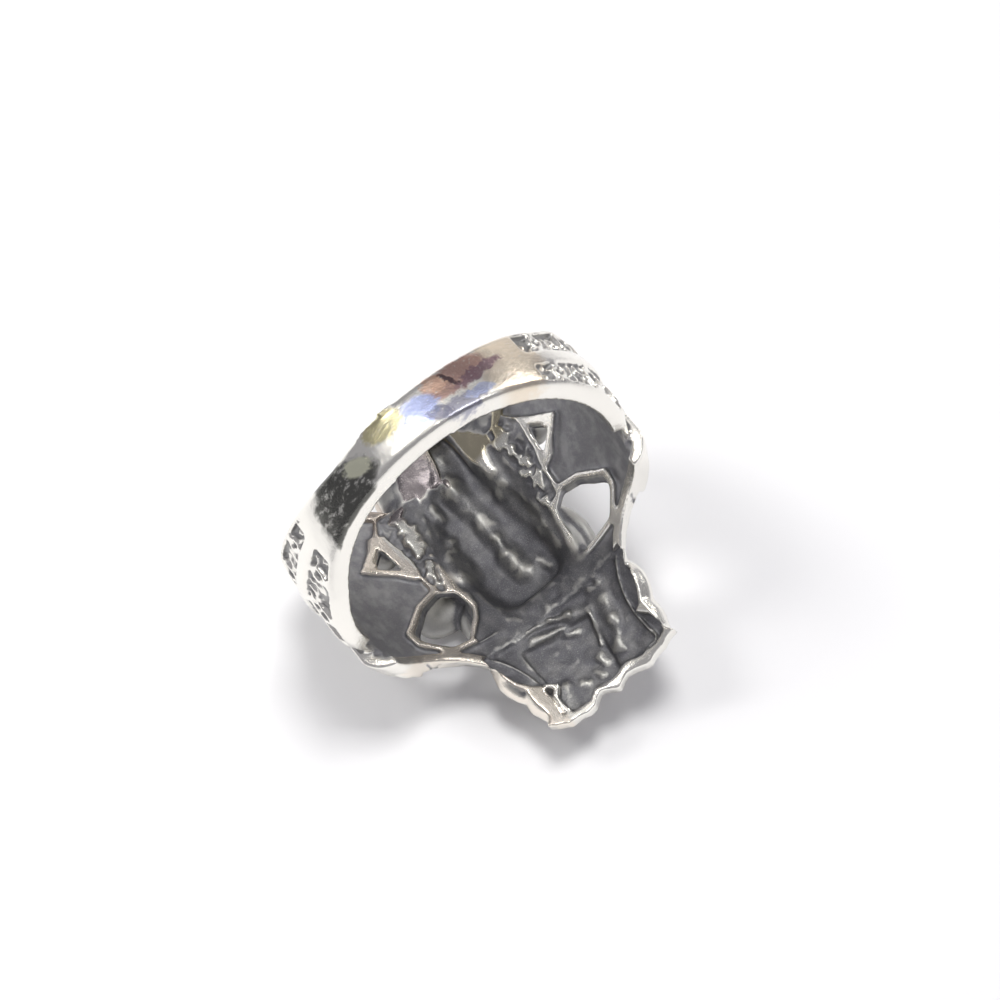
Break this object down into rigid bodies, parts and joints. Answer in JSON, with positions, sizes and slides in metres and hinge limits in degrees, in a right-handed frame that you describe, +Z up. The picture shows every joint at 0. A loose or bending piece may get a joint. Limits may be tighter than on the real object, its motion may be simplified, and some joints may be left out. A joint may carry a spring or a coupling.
{
  "type": "finger ring",
  "caption": "Cast finger ring with a tapered domed band and a crowned elephant head with wrapping ears, tusks and curled trunk, hollow behind and pierced at temples and cheeks.",
  "frame": {"origin": "centre of the bounding box at its base, on the surface that the ring lies on", "axes": "+Z up from the surface with the head underneath and the back of the band on top, +Y along the finger from crown to trunk, +X towards the side that is raised where the ring leans onto its long tusk"},
  "size_m": [0.0232, 0.025, 0.0258],
  "materials": {
    "silver": "worn cast silver, polished on what stands proud and inside the finger hole, blackened in the hollows"
  },
  "bodies": {
    "root": {"ganesha_ring": "silver"}
  },
  "joints": []
}
